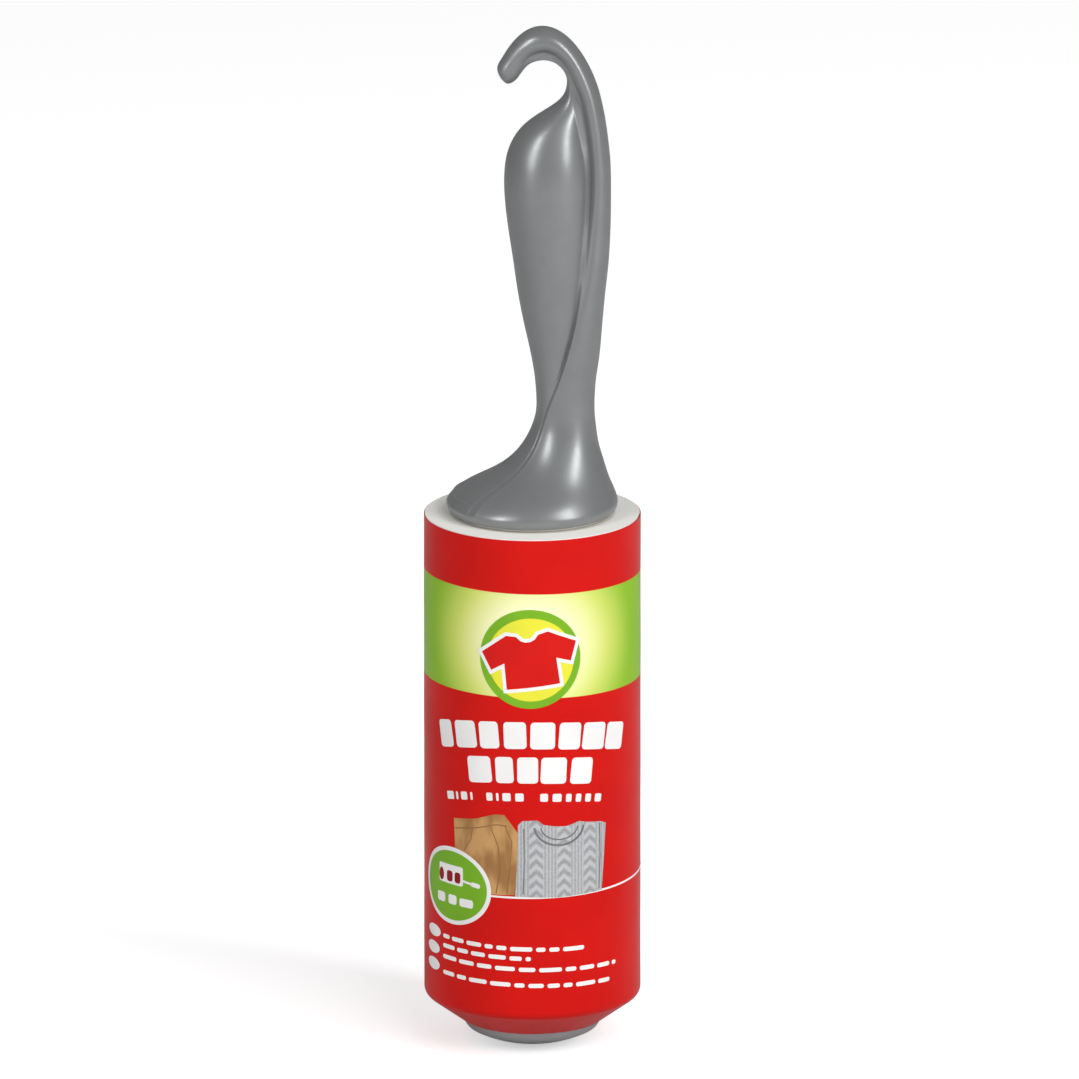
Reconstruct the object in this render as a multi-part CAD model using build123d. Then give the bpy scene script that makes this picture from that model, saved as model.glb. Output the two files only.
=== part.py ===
from build123d import *
import math
import os

# Mini lint roller, built upright: the roller axis is +Z and the end cap's pole is the origin.
# The handle is symmetric about the plane y = 0, and its hook opens towards -X.

# ---- driving dimensions (mm) -------------------------------------------------------------

ROLL_RADIUS = 16.5         # outside of the printed sleeve
ROLL_WIDTH = 74.0          # paper core and tape
ROLL_ABOVE_DOME = 5.5      # roll's lower end above the top of the cap's dome
CORE_BORE_RADIUS = 11.0
CORE_PLY = 0.5             # one ply of the spiral-wound paper core
CORE_PLIES = ("inner", "middle", "outer")

SHEET_COUNT = 30
TAPE_LENGTH = 2600.0
TAPE_THICKNESS = 0.125
TAPE_PITCH = 0.13          # tape plus the hairline between two turns
JOG_ANGLE = 3.0            # each turn climbs onto the next over this angle
SHEET_CUT = 0.15           # perforated gap between two sheets

SLEEVE_FILM = 0.12
SLEEVE_SHOULDER = 4.1      # height of the cone that the shrunk end is drawn into
SLEEVE_CORNER = 1.6        # rounding between the straight wall and the cone
SLEEVE_RIM_RADIUS = 10.8   # hole left round the end cap
SLEEVE_DROP = 0.1          # top edge below the roll's end
SLEEVE_OVERHANG = 1.05     # straight wall below the roll's lower end

CAP_RADIUS = 10.45
CAP_DOME = 3.5
CAP_SKIRT = 4.2
CAP_WALL = 1.2
CAP_CURVE = 20.5           # radius of the dome
CAP_EDGE_ROUND = 2.0

AXLE_RADIUS = 2.0
AXLE_SEAT_GAP = 0.02       # axle clamped in the handle
RUNNING_GAP = 0.05         # hubs running on the axle
AXLE_ANCHOR = 8.6          # how far the axle reaches up into the collar
AXLE_HEAD_RADIUS = 3.3
AXLE_HEAD = (4.6, 6.2)     # trapped collar of the axle, heights above the roll
AXLE_BOSS_RADIUS = 4.9
AXLE_TIP_PROUD = 0.6       # tip of the axle below the clip
AXLE_CHAMFER = 0.3

CAGE_RADIUS = 10.55
CAGE_WALL = 1.15
CAGE_RIBS = 6
WINDOW_ANGLE = 34.0
WINDOW_ROWS = 2
WINDOW_MARGIN = 9.0        # solid tube at each end
WINDOW_BAND = 4.0          # solid band between the rows
WINDOW_CORNER = 1.2
GRIP_RIB_PROUD = 0.35      # ribs that hold the core by friction
GRIP_RIB_WIDTH = 1.4
HUB_BOSS_RADIUS = 4.2
HUB_FLANGE_RADIUS = 11.75  # larger than the core's bore, so the refill stops against it
HUB_FLANGE = (0.1, 1.2)    # heights above the roll
HUB_SPIGOT = 6.0
HUB_SPIGOT_WALL = 1.2
HUB_WEB = 1.4
HUB_SKIRT = 2.4            # lower hub's collar inside the end cap
HUB_SKIRT_WALL = 1.0
HUB_PLATE = 1.4            # lower hub's plate
HUB_BOSS_PROUD = 2.0       # how far the bearing bosses stand out past the spigots
WEB_STEP = 1.0             # webs end this far short of the spigot's end
WEB_BITE = 0.3             # how far a web runs into the boss and the spigot

WASHER = 0.6
WASHER_RADIUS = 4.6
WASHER_GAP = 0.1
CLIP = 0.5
CLIP_RADIUS = 3.6
CLIP_TEETH = 6
CLIP_SLOT = (1.6, 0.5)      # length and width of the slots between the teeth
CLIP_BITE = 0.25           # the clip's teeth sit in a groove this deep

COLLAR_RADIUS = 13.0
COLLAR_LIP = 0.45          # lowest edge of the collar above the roll's end
COLLAR_WIDEST = 2.0
COLLAR_RECESS_RADIUS = 12.1
LIP_ROUND = 0.75
DISC = (2.0, 3.2)          # closing disc of the collar, heights above the roll
DISC_RIM = (8.8, 7.8, 1.2) # stiffening ring on the disc: outer and inner radius, height
WALL = 1.6                 # handle shells

HOOK_EYE = (1.9, 67.3)     # centre of the hook's round space: x, height above the roll
HOOK_TIP = (-3.6, 69.1)
HOOK_TIP_RADIUS = 1.8
HOOK_TIP_HEADING = 53.0

PIN_RADIUS = 0.9
PIN_GAP = 0.05
PIN_BOSS_RADIUS = 2.1
PIN_REACH = 2.2
PIN_PLACES = ((2.2, 54.0), (3.0, 37.0), (5.1, 19.2), (8.3, 62.5))  # x, height above the roll

# ---- dimensions that follow --------------------------------------------------------------

ROLL_BOTTOM = CAP_DOME + ROLL_ABOVE_DOME
ROLL_TOP = ROLL_BOTTOM + ROLL_WIDTH
CORE_RADIUS = CORE_BORE_RADIUS + CORE_PLY * len(CORE_PLIES)
TAPE_START_RADIUS = CORE_RADIUS + TAPE_PITCH - TAPE_THICKNESS
SHOULDER_TOP = ROLL_BOTTOM - SLEEVE_OVERHANG
CAGE_BORE_RADIUS = CAGE_RADIUS - CAGE_WALL
CAGE_BOTTOM = CAP_DOME + CAP_SKIRT
AXLE_BORE_RADIUS = AXLE_RADIUS + RUNNING_GAP
AXLE_SEAT_RADIUS = AXLE_RADIUS + AXLE_SEAT_GAP
LOWER_WASHER_TOP = CAGE_BOTTOM - HUB_SKIRT - WASHER_GAP
CLIP_TOP = LOWER_WASHER_TOP - WASHER - WASHER_GAP
AXLE_TIP = CLIP_TOP - CLIP - AXLE_TIP_PROUD


# ---- small helpers -----------------------------------------------------------------------

def rod(radius, low, high):
    """Upright cylinder on the roller axis between two heights."""
    return Pos(0, 0, low) * Cylinder(radius, high - low, align=(Align.CENTER, Align.CENTER, Align.MIN))


def ring(outer, inner, low, high):
    """Upright tube on the roller axis between two heights."""
    return rod(outer, low, high) - rod(inner, low - 1, high + 1)


def above_roll(heights):
    """A pair of heights above the roll's upper end, as heights above the origin."""
    return [ROLL_TOP + height for height in heights]


def cross_rod(radius, x, height, y_from, y_to):
    """Cylinder that crosses the handle from front to back."""
    middle = (y_from + y_to) / 2
    return Pos(x, middle, ROLL_TOP + height) * Rot(90, 0, 0) * Cylinder(radius, abs(y_to - y_from))


def section(x, height, half_width, half_depth, heading=90.0):
    """Ellipse across the handle where its centre line runs along heading, in degrees from +X."""
    turn = math.radians(heading)
    along = (math.cos(turn), 0, math.sin(turn))
    across = (-math.sin(turn), 0, math.cos(turn))
    place = Plane(origin=(x, 0, ROLL_TOP + height), x_dir=across, z_dir=along)
    return place * Ellipse(half_width, half_depth)


def round_eye(angle, near, far, half_depth):
    """Section of the hook at an angle round its eye, between two distances from the eye's centre."""
    turn = math.radians(angle)
    middle = (near + far) / 2
    x = HOOK_EYE[0] + middle * math.cos(turn)
    height = HOOK_EYE[1] + middle * math.sin(turn)
    return section(x, height, (far - near) / 2, half_depth, angle - 90)


# ---- handle ------------------------------------------------------------------------------

def ribbon():
    """The hook and the spine below it, which swings across the grip and becomes the neck."""
    tip = section(*HOOK_TIP, HOOK_TIP_RADIUS, HOOK_TIP_RADIUS, HOOK_TIP_HEADING)
    arch = [
        round_eye(143, 3.7, 7.35, 1.95),
        round_eye(118, 3.55, 8.05, 2.4),
        round_eye(92, 3.55, 8.85, 2.8),
        round_eye(66, 3.55, 7.9, 3.0),
        round_eye(40, 3.5, 7.1, 3.15),
        round_eye(18, 3.5, 7.1, 3.25),
        round_eye(-4, 3.55, 7.85, 3.4),
    ]
    spine = [
        section(8.5, 61.0, 2.6, 3.6, -87),
        section(9.2, 52.0, 2.65, 3.8, -91),
        section(8.9, 42.0, 2.75, 4.0, -94),
        section(8.0, 34.0, 3.05, 4.2, -97),
        section(6.9, 26.0, 3.5, 4.4, -99),
        section(5.65, 20.0, 3.95, 4.45, -95),
        section(5.1, 16.8, 4.25, 4.4, -93),
        section(4.75, 13.0, 4.7, 4.6, -98),
    ]
    end = Pos(HOOK_TIP[0], 0, ROLL_TOP + HOOK_TIP[1]) * Sphere(HOOK_TIP_RADIUS)
    return loft([tip] + arch + spine) + end


def grip(inset=0.0):
    """The swelling palm grip beside the spine, or with an inset the hollow inside it."""
    stations = [
        (4.6, 15.5, 2.8, 3.2),
        (3.9, 21.5, 3.5, 4.1),
        (3.6, 28.0, 4.7, 5.0),
        (3.2, 36.0, 5.7, 5.9),
        (2.8, 44.0, 6.5, 6.6),
        (2.5, 51.5, 6.75, 6.7),
        (2.9, 57.0, 6.3, 6.1),
        (3.6, 60.4, 5.1, 4.9),
        (4.6, 62.4, 3.4, 3.5),
        (5.7, 63.8, 1.9, 2.0),
    ]
    if inset:
        stations = stations[1:-2]
    return loft([section(x, height, a - inset, b - inset) for x, height, a, b in stations])


def flare(inset=0.0):
    """The neck opening out into the round collar, or with an inset the hollow inside it."""
    stations = [
        (0.0, COLLAR_WIDEST, COLLAR_RADIUS, COLLAR_RADIUS),
        (0.2, 3.2, 12.5, 12.45),
        (1.15, 4.8, 10.7, 10.6),
        (2.45, 6.3, 8.9, 8.7),
        (3.5, 8.2, 7.35, 7.1),
        (4.15, 10.5, 5.95, 5.7),
        (4.75, 13.2, 4.95, 4.85),
        (5.05, 16.6, 4.35, 4.4),
        (5.5, 20.0, 3.6, 3.9),
    ]
    return loft([section(x, height, a - inset, b - inset) for x, height, a, b in stations])


def collar_lip():
    """Rounded lower edge of the collar."""
    inside = COLLAR_RECESS_RADIUS - 0.4
    low, widest = above_roll((COLLAR_LIP, COLLAR_WIDEST))
    corner = COLLAR_RADIUS - LIP_ROUND
    round_edge = EllipticalCenterArc((corner, widest), LIP_ROUND, widest - low, start_angle=270, arc_size=90)
    outline = [
        Line((inside, widest), (inside, low)),
        Line((inside, low), (corner, low)),
        round_edge,
        Line((COLLAR_RADIUS, widest), (inside, widest)),
    ]
    return revolve(Plane.XZ * make_face(outline), Axis.Z)


def axle_envelope(gap):
    """Room for the axle's upper end and its trapped collar."""
    shank = rod(AXLE_RADIUS + gap, ROLL_TOP - 5, ROLL_TOP + AXLE_ANCHOR + gap)
    low, high = above_roll(AXLE_HEAD)
    return shank + rod(AXLE_HEAD_RADIUS + gap, low - gap, high + gap)


def handle_body():
    """Whole moulding with its hollows and bosses, before it is parted into two shells."""
    palm = grip()
    collar = flare()
    disc_top = ROLL_TOP + DISC[1]
    boss = rod(AXLE_BOSS_RADIUS, disc_top, ROLL_TOP + 20)
    pin_bosses = [cross_rod(PIN_BOSS_RADIUS, x, height, -8, 8) for x, height in PIN_PLACES[:2]]
    body = ribbon() + palm + collar + collar_lip()
    body -= grip(WALL) - pin_bosses[0] - pin_bosses[1]
    body -= flare(WALL) - rod(COLLAR_RADIUS, ROLL_TOP, disc_top) - boss
    body -= rod(COLLAR_RECESS_RADIUS, ROLL_TOP, disc_top)
    return body - axle_envelope(AXLE_SEAT_GAP)


def handle_front_shell(body):
    """Front moulding with sockets for the locating pins."""
    shell = split(body, bisect_by=Plane.XZ, keep=Keep.TOP)
    for x, height in PIN_PLACES:
        shell -= cross_rod(PIN_RADIUS + PIN_GAP, x, height, -PIN_REACH - 0.2, 1)
    return shell


def handle_rear_shell(body):
    """Rear moulding with the locating pins."""
    shell = split(body, bisect_by=Plane.XZ, keep=Keep.BOTTOM)
    for x, height in PIN_PLACES:
        shell += cross_rod(PIN_RADIUS, x, height, -PIN_REACH, 1)
    return shell


def collar_disc():
    """Disc that closes the collar and keeps the two shells together round the axle."""
    low, high = above_roll(DISC)
    outer, inner, rim = DISC_RIM
    plate = ring(COLLAR_RECESS_RADIUS - PIN_GAP, AXLE_SEAT_RADIUS, low, high)
    return plate + ring(outer, inner, high - 0.1, high + rim)


def axle():
    """Steel axle with a trapped collar at the top and a groove for the clip at its tip."""
    low, high = above_roll(AXLE_HEAD)
    shank = rod(AXLE_RADIUS, AXLE_TIP, ROLL_TOP + AXLE_ANCHOR)
    groove = ring(AXLE_RADIUS + 1, AXLE_RADIUS - CLIP_BITE, CLIP_TOP - CLIP - 0.05, CLIP_TOP + 0.05)
    shank = chamfer(shank.edges().sort_by(Axis.Z)[0], AXLE_CHAMFER)
    return shank + rod(AXLE_HEAD_RADIUS, low, high) - groove


def washer(low):
    """Thin acetal washer round the axle."""
    return ring(WASHER_RADIUS, AXLE_BORE_RADIUS, low, low + WASHER)


def axle_clip():
    """Push-on clip: a thin ring whose teeth spring into the axle's groove."""
    low = CLIP_TOP - CLIP
    clip = ring(CLIP_RADIUS, AXLE_RADIUS - CLIP_BITE + 0.02, low, CLIP_TOP)
    slot = Pos(AXLE_RADIUS, 0, low + CLIP / 2) * Box(*CLIP_SLOT, CLIP + 1)
    for turn in range(CLIP_TEETH):
        clip -= Rot(0, 0, 360 / CLIP_TEETH * turn) * slot
    return clip


# ---- roller cage -------------------------------------------------------------------------

def hub_webs(low, high):
    """Radial webs between a hub's boss and its spigot."""
    inner = HUB_BOSS_RADIUS - WEB_BITE
    outer = CAGE_BORE_RADIUS - HUB_SPIGOT_WALL + WEB_BITE
    web = Pos((inner + outer) / 2, 0, (low + high) / 2) * Box(outer - inner, HUB_WEB, high - low)
    return [Rot(0, 0, 360 / CAGE_RIBS * turn) * web for turn in range(CAGE_RIBS)]


def hub_spigot(low, high):
    """Tube of a hub that plugs into the cage tube."""
    outer = CAGE_BORE_RADIUS - RUNNING_GAP
    return ring(outer, outer - HUB_SPIGOT_WALL, low, high)


def cage_upper_hub():
    """Upper hub: the flange that stops the refill, the spigot and the bearing boss."""
    low, high = above_roll(HUB_FLANGE)
    hub = ring(HUB_FLANGE_RADIUS, AXLE_BORE_RADIUS, low, high)
    hub += hub_spigot(low - HUB_SPIGOT, low)
    hub += ring(HUB_BOSS_RADIUS, AXLE_BORE_RADIUS, low - HUB_SPIGOT - HUB_BOSS_PROUD, low)
    for web in hub_webs(low - HUB_SPIGOT + WEB_STEP, low):
        hub += web
    return hub


def cage_lower_hub():
    """Lower hub: spigot, web plate and bearing boss, with a collar that the end cap clips over."""
    plate_top = CAGE_BOTTOM + HUB_PLATE
    hub = ring(CAGE_BORE_RADIUS - RUNNING_GAP, AXLE_BORE_RADIUS, CAGE_BOTTOM, plate_top)
    hub += hub_spigot(plate_top, CAGE_BOTTOM + HUB_SPIGOT)
    boss_top = CAGE_BOTTOM + HUB_SPIGOT + HUB_BOSS_PROUD
    hub += ring(HUB_BOSS_RADIUS, AXLE_BORE_RADIUS, CAGE_BOTTOM - HUB_SKIRT, boss_top)
    cap_bore = CAP_RADIUS - CAP_WALL - RUNNING_GAP
    hub += ring(cap_bore, cap_bore - HUB_SKIRT_WALL, CAGE_BOTTOM - HUB_SKIRT, CAGE_BOTTOM)
    for web in hub_webs(plate_top, CAGE_BOTTOM + HUB_SPIGOT - WEB_STEP):
        hub += web
    return hub


def cage_window(low, high):
    """Wedge that cuts one round-cornered window between two ribs, through the tube's wall."""
    middle = (CAGE_RADIUS + CAGE_BORE_RADIUS) / 2
    width = 2 * middle * math.sin(math.radians(WINDOW_ANGLE / 2))
    plan = Plane.YZ * RectangleRounded(width, high - low, WINDOW_CORNER)
    return Pos(0, 0, (low + high) / 2) * extrude(plan, CAGE_RADIUS + 3)


def cage_tube():
    """Moulded tube with two rows of windows and a friction rib down each of its bars."""
    low, high = CAGE_BOTTOM, ROLL_TOP + HUB_FLANGE[0]
    tube = ring(CAGE_RADIUS, CAGE_BORE_RADIUS, low, high)
    row = (high - low - 2 * WINDOW_MARGIN - WINDOW_BAND * (WINDOW_ROWS - 1)) / WINDOW_ROWS
    step = 360 / CAGE_RIBS
    for level in range(WINDOW_ROWS):
        sill = low + WINDOW_MARGIN + level * (row + WINDOW_BAND)
        window = cage_window(sill, sill + row)
        for turn in range(CAGE_RIBS):
            tube -= Rot(0, 0, step * turn) * window
    proud = ring(CAGE_RADIUS + GRIP_RIB_PROUD, CAGE_BORE_RADIUS + 0.2, low + 6, high - 6)
    bar = Pos(CAGE_RADIUS, 0, (low + high) / 2) * Box(4, GRIP_RIB_WIDTH, high - low)
    for turn in range(CAGE_RIBS):
        tube += proud & (Rot(0, 0, step * (turn + 0.5)) * bar)
    return tube


def end_cap():
    """Domed cap that closes the free end of the cage."""
    dome = rod(CAP_RADIUS, 0, CAGE_BOTTOM) & (Pos(0, 0, CAP_CURVE) * Sphere(CAP_CURVE))
    circles = dome.edges().filter_by(GeomType.CIRCLE)
    rims = circles.filter_by(lambda rim: abs(rim.radius - CAP_RADIUS) < 0.01)
    dome = fillet(rims.sort_by(Axis.Z)[0], CAP_EDGE_ROUND)
    hollow = rod(CAP_RADIUS - CAP_WALL, CAP_WALL, CAGE_BOTTOM + 1)
    return dome - (hollow & (Pos(0, 0, CAP_CURVE) * Sphere(CAP_CURVE - CAP_WALL)))


# ---- refill ------------------------------------------------------------------------------

def core_ply(layer):
    """One ply of the paper core."""
    inner = CORE_BORE_RADIUS + CORE_PLY * layer
    return ring(inner + CORE_PLY, inner, ROLL_BOTTOM, ROLL_TOP)


def turn_radius(turn):
    """Inner radius of the tape on a turn, counted from the core."""
    return TAPE_START_RADIUS + TAPE_PITCH * turn


def cut_place(count):
    """Turn and angle of the perforation after a number of sheets; a cut never falls on a jog."""
    left = TAPE_LENGTH * count / SHEET_COUNT
    turn = 0
    while True:
        around = 2 * math.pi * (turn_radius(turn) + TAPE_THICKNESS / 2)
        if left < around:
            return turn, min(360 * left / around, 360 - JOG_ANGLE)
        left -= around
        turn += 1


def tape_side(stretches, offset):
    """Edges of one face of the tape: an arc for each turn, joined by the jogs."""
    edges = []
    for turn, start, end in stretches:
        radius = turn_radius(turn) + offset
        arc = CenterArc((0, 0), radius, start, end - start)
        if edges:
            edges.append(Line(edges[-1] @ 1, arc @ 0))
        edges.append(arc)
    return edges


def sheet(number):
    """One perforated sheet of adhesive paper, where it lies in the winding."""
    first_turn, start = cut_place(number - 1)
    last_turn, end = cut_place(number)
    end -= math.degrees(SHEET_CUT / turn_radius(last_turn))
    stretches = []
    for turn in range(first_turn, last_turn + 1):
        begin = start if turn == first_turn else 0
        finish = end if turn == last_turn else 360 - JOG_ANGLE
        if finish - begin > 0.01:
            stretches.append((turn, begin, finish))
    inner = tape_side(stretches, 0)
    outer = tape_side(stretches, TAPE_THICKNESS)
    ends = [Line(inner[0] @ 0, outer[0] @ 0), Line(inner[-1] @ 1, outer[-1] @ 1)]
    face = make_face(inner + outer + ends)
    return Pos(0, 0, ROLL_BOTTOM) * extrude(face, ROLL_WIDTH, dir=(0, 0, 1))


# ---- printed sleeve ----------------------------------------------------------------------

def sleeve_side(inset):
    """One side of the film in section, from the rim up the cone and the straight wall."""
    lean = math.atan2(SLEEVE_SHOULDER, ROLL_RADIUS - SLEEVE_RIM_RADIUS)
    bottom = SHOULDER_TOP - SLEEVE_SHOULDER
    rim = (SLEEVE_RIM_RADIUS - inset * math.sin(lean), bottom + inset * math.cos(lean))
    corner = (ROLL_RADIUS - inset, SHOULDER_TOP + inset * (1 / math.cos(lean) - math.tan(lean)))
    top = (ROLL_RADIUS - inset, ROLL_TOP - SLEEVE_DROP)
    return FilletPolyline(rim, corner, top, radius=SLEEVE_CORNER - inset)


def printed_sleeve():
    """Shrink-film sleeve round the refill, drawn in over the roll's lower end."""
    outer, inner = sleeve_side(0), sleeve_side(SLEEVE_FILM)
    outline = [outer, Line(outer @ 1, inner @ 1), inner, Line(inner @ 0, outer @ 0)]
    return revolve(Plane.XZ * make_face(outline), Axis.Z)


# ---- everything, one file for each node --------------------------------------------------

def all_parts():
    """Every sub-part by its node name."""
    body = handle_body()
    parts = {
        "handle_front_shell": handle_front_shell(body),
        "handle_rear_shell": handle_rear_shell(body),
        "collar_disc": collar_disc(),
        "axle": axle(),
        "upper_thrust_washer": washer(ROLL_TOP + HUB_FLANGE[1] + WASHER_GAP),
        "lower_thrust_washer": washer(LOWER_WASHER_TOP - WASHER),
        "axle_clip": axle_clip(),
        "cage_upper_hub": cage_upper_hub(),
        "cage_tube": cage_tube(),
        "cage_lower_hub": cage_lower_hub(),
        "end_cap": end_cap(),
        "printed_sleeve": printed_sleeve(),
    }
    for layer, name in enumerate(CORE_PLIES):
        parts[f"core_{name}_ply"] = core_ply(layer)
    for number in range(1, SHEET_COUNT + 1):
        parts[f"sheet_{number:02d}"] = sheet(number)
    return parts


os.makedirs("parts", exist_ok=True)
for node, solid in all_parts().items():
    export_step(solid, f"parts/{node}.step")
    print(f"{node}: {solid.volume:.1f} mm3, {len(solid.solids())} solid(s), valid {solid.is_valid}")
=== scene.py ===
"""Looks of a mini lint roller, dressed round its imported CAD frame.

Sizes in the classes are millimetres, in the frame of the CAD part: the roller's axis is +Z, the
camera stands towards -Y, and the hook opens towards -X. MM turns them into Blender's metres.
"""

import logging
import math
from collections.abc import Callable, Iterator
from contextlib import contextmanager
from dataclasses import dataclass, field
from enum import Enum

import bpy
import numpy as np
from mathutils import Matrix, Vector


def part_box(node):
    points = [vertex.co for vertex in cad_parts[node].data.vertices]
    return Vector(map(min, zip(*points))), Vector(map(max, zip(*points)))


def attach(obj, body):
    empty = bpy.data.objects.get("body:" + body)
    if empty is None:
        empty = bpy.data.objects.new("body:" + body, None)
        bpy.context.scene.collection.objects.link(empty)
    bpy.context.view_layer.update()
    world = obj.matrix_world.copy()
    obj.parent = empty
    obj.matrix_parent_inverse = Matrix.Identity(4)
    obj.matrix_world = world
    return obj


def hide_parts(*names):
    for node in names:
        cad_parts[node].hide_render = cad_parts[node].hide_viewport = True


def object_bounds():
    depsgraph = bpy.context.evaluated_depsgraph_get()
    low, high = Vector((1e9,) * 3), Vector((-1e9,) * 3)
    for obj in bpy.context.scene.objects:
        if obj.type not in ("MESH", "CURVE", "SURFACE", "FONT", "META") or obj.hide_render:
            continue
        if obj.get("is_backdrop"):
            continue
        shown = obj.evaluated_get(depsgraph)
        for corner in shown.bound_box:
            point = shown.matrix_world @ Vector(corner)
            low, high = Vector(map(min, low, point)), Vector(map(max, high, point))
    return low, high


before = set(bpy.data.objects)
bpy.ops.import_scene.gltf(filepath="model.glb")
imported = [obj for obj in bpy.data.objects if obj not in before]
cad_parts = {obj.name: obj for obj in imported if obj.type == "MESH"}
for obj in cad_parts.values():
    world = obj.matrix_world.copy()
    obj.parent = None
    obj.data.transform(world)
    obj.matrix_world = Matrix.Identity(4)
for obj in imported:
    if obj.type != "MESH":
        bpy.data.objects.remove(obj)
CAD_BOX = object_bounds()
LOG = logging.getLogger("lint_roller")

MM = 0.001
ROLL_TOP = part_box("sheet_30")[1].z / MM
ROLL_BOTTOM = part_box("sheet_30")[0].z / MM
SLEEVE_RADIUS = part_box("printed_sleeve")[1].x / MM
FILM_RADIUS = SLEEVE_RADIUS - 0.075      # outside of the film, below the print

SMOOTH_BELOW = 32.0                      # degrees; sharper edges stay sharp
SAME_POINT = 1e-8                        # metres
SPOTS_PER_MM = 1e4
FLAT_MAP = "flat"
PRINT_UNIT = 100.0                       # millimetres of print in one unit of its flat map

Colour = tuple[float, float, float]
Place = tuple[float, float]
Node = bpy.types.Node
Piece = bpy.types.Object
Socket = bpy.types.NodeSocket
Tree = bpy.types.NodeTree


class Body(Enum):
    """Rigid bodies of the part that the pieces made here ride on."""

    HANDLE = "handle"
    SLEEVE = "sleeve"


# ---- work in edit mode ----


def deselect() -> None:
    """Deselects every object, so that an operator acts on one piece only."""
    bpy.ops.object.select_all(action="DESELECT")


def pick(piece: Piece) -> None:
    """Selects one piece alone and makes it the active one."""
    deselect()
    piece.select_set(True)
    bpy.context.view_layer.objects.active = piece


@contextmanager
def editing(piece: Piece) -> Iterator[None]:
    """Holds one piece in edit mode with all of its mesh selected.

    Args:
        piece: the mesh object to edit.
    """
    pick(piece)
    bpy.ops.object.mode_set(mode="EDIT")
    bpy.ops.mesh.select_all(action="SELECT")
    yield
    bpy.ops.object.mode_set(mode="OBJECT")


def points_of(piece: Piece) -> np.ndarray:
    """Returns a piece's vertices as an array of rows x, y, z."""
    points = np.empty(len(piece.data.vertices) * 3)
    piece.data.vertices.foreach_get("co", points)
    return points.reshape(-1, 3)


def move_points(piece: Piece, rule: Callable[[np.ndarray], np.ndarray]) -> None:
    """Moves every vertex of a piece by one rule.

    Args:
        piece: the mesh object to shape.
        rule: takes the vertices as rows and returns their new places.
    """
    piece.data.vertices.foreach_set("co", rule(points_of(piece)).ravel())
    piece.data.update()


def apply_modifier(piece: Piece, kind: str, **settings: float | str | bool) -> None:
    """Adds a modifier to a piece and applies it.

    Args:
        piece: the mesh object.
        kind: Blender's name of the modifier type.
        **settings: the modifier's own values.
    """
    pick(piece)
    modifier = piece.modifiers.new(kind.lower(), kind)
    for name, value in settings.items():
        setattr(modifier, name, value)
    bpy.ops.object.modifier_apply(modifier=modifier.name)


def select_where(piece: Piece, test: Callable[[np.ndarray], np.ndarray]) -> None:
    """Selects, in edit mode, only the vertices that pass a test.

    Args:
        piece: the mesh object being edited.
        test: takes the vertices as rows and returns one truth value for each.
    """
    bpy.ops.mesh.select_all(action="DESELECT")
    bpy.ops.object.mode_set(mode="OBJECT")
    piece.data.vertices.foreach_set("select", test(points_of(piece)))
    bpy.ops.object.mode_set(mode="EDIT")


def spot(point: np.ndarray) -> tuple[int, ...]:
    """Rounds a point in millimetres, so that two ends of one edge path compare equal."""
    return tuple(np.rint(point * SPOTS_PER_MM).astype(int))


def skin(name: str, rings: np.ndarray, close: tuple[bool, bool]) -> Piece:
    """Wraps a grid round a run of rings.

    Args:
        name: name of the piece.
        rings: array of shape (rings, points in a ring, 3), in millimetres.
        close: whether the first and the last ring get a face across them.

    Returns:
        The skinned piece, with its place in its mesh.
    """
    rows, columns = rings.shape[:2]
    deselect()
    bpy.ops.mesh.primitive_grid_add(x_subdivisions=columns, y_subdivisions=rows - 1, size=2)
    piece = bpy.context.object
    piece.name = name

    def lay(points: np.ndarray) -> np.ndarray:
        """Puts each crossing of the grid on its point of its ring."""
        column = np.rint((points[:, 0] + 1) / 2 * columns).astype(int) % columns
        row = np.rint((points[:, 1] + 1) / 2 * (rows - 1)).astype(int)
        return rings[row, column] * MM

    move_points(piece, lay)
    with editing(piece):
        bpy.ops.mesh.remove_doubles(threshold=SAME_POINT)
        for wanted, ring in zip(close, (rings[0], rings[-1])):
            if wanted:
                keys = {spot(p) for p in ring}
                select_where(piece, lambda points: np.array([spot(p / MM) in keys for p in points]))
                bpy.ops.mesh.edge_face_add()
        bpy.ops.mesh.select_all(action="SELECT")
        bpy.ops.mesh.normals_make_consistent(inside=False)
    return piece


def hand_over(piece: Piece, finish: "Finish", body: Body,
              nodes: tuple[str, ...] = ()) -> None:
    """Dresses and smooths a finished piece and gives it to the frame.

    Args:
        piece: the finished piece.
        finish: the finish that it gets.
        body: the body that it rides on.
        nodes: the CAD nodes that it stands for.
    """
    piece.data.materials.clear()
    piece.data.materials.append(finish.material())
    pick(piece)
    bpy.ops.object.shade_smooth_by_angle(angle=math.radians(SMOOTH_BELOW))
    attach(piece, body.value)
    if nodes:
        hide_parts(*nodes)
    LOG.info("%s: %d faces on %s", piece.name, len(piece.data.polygons), body.value)


# ---- shader work ----


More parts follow.
